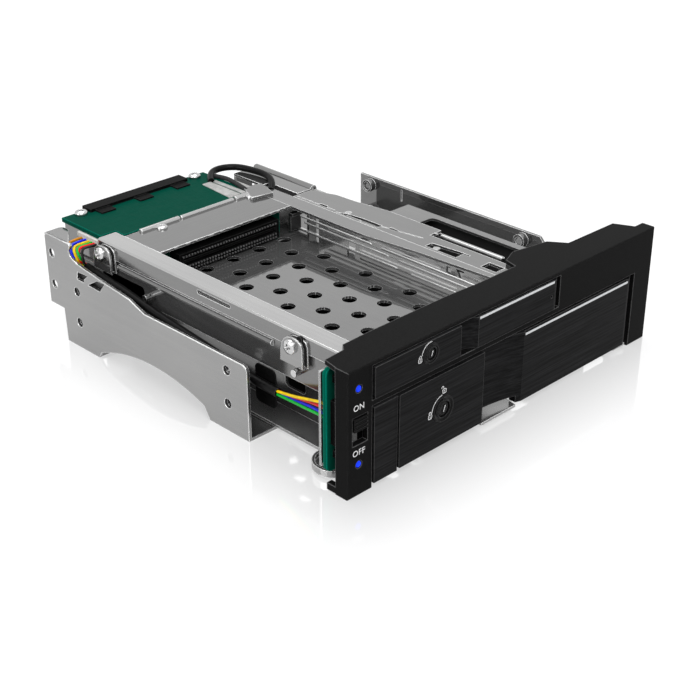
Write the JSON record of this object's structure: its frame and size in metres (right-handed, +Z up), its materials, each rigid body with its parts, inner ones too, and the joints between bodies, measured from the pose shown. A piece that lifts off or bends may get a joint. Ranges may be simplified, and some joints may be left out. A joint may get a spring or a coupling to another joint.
{
  "type": "hot swap drive cage",
  "caption": "Sheet metal drive cage with a black front bezel, two hinged locking doors, door driven ejectors and rear boards, for a half height bay.",
  "frame": {"origin": "centre of the overall box, on the plane of the bracket feet and the bezel's lower edge", "axes": "+Z up, +Y from the bezel towards the rear, +X towards the hinge side of the doors"},
  "size_m": [0.1484, 0.1562, 0.0448],
  "materials": {
    "black_plastic": "satin, finely brushed on the doors",
    "silver_strip": "bright",
    "lock_housing": "polished",
    "lock_metal": "satin",
    "pin_steel": "bright",
    "zinc_sheet": "zinc plated, light brushed grain",
    "circuit_board": "solder mask",
    "connector_black": "moulded",
    "connector_white": "moulded",
    "lamp_blue": "clear blue",
    "rubber_black": "matt",
    "flat_cable_grey": "flexible",
    "insulation_orange": "flexible",
    "insulation_blue": "flexible",
    "insulation_yellow": "flexible",
    "insulation_green": "flexible",
    "insulation_red": "flexible",
    "insulation_black": "flexible"
  },
  "bodies": {
    "cage": {"backplane_25": "circuit_board", "backplane_35": "circuit_board", "board_screws": "pin_steel", "bridge_screws": "pin_steel", "cable_sleeve": "rubber_black", "cable_sockets": "connector_black", "control_board": "circuit_board", "drive_socket_25": "connector_black", "drive_socket_35": "connector_black", "fixed_panel": "black_plastic", "flat_cable": "flat_cable_grey", "floor_plate": "zinc_sheet", "front_bezel": "black_plastic", "guide_rivets": "pin_steel", "hinge_pin_25": "pin_steel", "hinge_pin_35": "pin_steel", "loop_cable": "rubber_black", "perforated_deck": "zinc_sheet", "rear_board": "circuit_board", "rear_bridge": "zinc_sheet", "rear_connector": "connector_black", "rear_shelf": "zinc_sheet", "rear_side_deck": "zinc_sheet", "rubber_bumper": "rubber_black", "side_bracket_left": "zinc_sheet", "side_bracket_right": "zinc_sheet", "status_lamps": "lamp_blue", "switch_body": "connector_black", "tab_bracket_front": "zinc_sheet", "tab_bracket_rear": "zinc_sheet", "tab_screws": "pin_steel", "top_deck_right": "zinc_sheet", "top_rail_left": "zinc_sheet", "upper_wall_left": "zinc_sheet", "wall_25_right": "zinc_sheet", "wall_35_left": "zinc_sheet", "wall_35_right": "zinc_sheet", "wall_studs": "pin_steel", "wire_black": "insulation_black", "wire_blue": "insulation_blue", "wire_green": "insulation_green", "wire_header": "connector_white", "wire_orange": "insulation_orange", "wire_red": "insulation_red", "wire_yellow": "insulation_yellow"},
    "door_35": {"door_35": "black_plastic", "handle_strip_35": "silver_strip", "lock_ring_35": "lock_housing"},
    "door_25": {"door_25": "black_plastic", "handle_strip_25": "silver_strip", "lock_ring_25": "lock_housing"},
    "key_35": {"lock_rotor_35": "lock_metal", "lock_cam_35": "lock_metal"},
    "key_25": {"lock_rotor_25": "lock_metal", "lock_cam_25": "lock_metal"},
    "ejector_35": {"ejector_slide_35": "zinc_sheet"},
    "ejector_25": {"ejector_slide_25": "zinc_sheet", "ejector_rod_25": "pin_steel", "ejector_roller_25": "pin_steel"},
    "switch": {"switch_knob": "black_plastic"}
  },
  "joints": [
    {"name": "door_35_hinge", "type": "hinge", "parent": "cage", "child": "door_35", "pos_m": [0.0596, -0.0742, 0.015], "axis": [0, 0, 1], "range_deg": [0, 90]},
    {"name": "door_25_hinge", "type": "hinge", "parent": "cage", "child": "door_25", "pos_m": [0.0178, -0.0742, 0.0357], "axis": [0, 0, 1], "range_deg": [0, 90]},
    {"name": "key_35_turn", "type": "hinge", "parent": "door_35", "child": "key_35", "pos_m": [-0.0344, -0.0766, 0.0154], "axis": [0, -1, 0], "range_deg": [0, 95]},
    {"name": "key_25_turn", "type": "hinge", "parent": "door_25", "child": "key_25", "pos_m": [-0.0407, -0.0766, 0.0367], "axis": [0, -1, 0], "range_deg": [0, 95]},
    {"name": "ejector_35_slide", "type": "slide", "parent": "cage", "child": "ejector_35", "axis": [0, -1, 0], "range_m": [0, 0.00622]},
    {"name": "ejector_25_slide", "type": "slide", "parent": "cage", "child": "ejector_25", "axis": [0, -1, 0], "range_m": [0, 0.00509]},
    {"name": "switch_slide", "type": "slide", "parent": "cage", "child": "switch", "axis": [0, 0, -1], "range_m": [0, 0.0044]}
  ],
  "couplings": [
    {"joint": "ejector_35_slide", "follows": "door_35_hinge", "m_per_rad": 0.0039613},
    {"joint": "ejector_25_slide", "follows": "door_25_hinge", "m_per_rad": 0.003241}
  ]
}
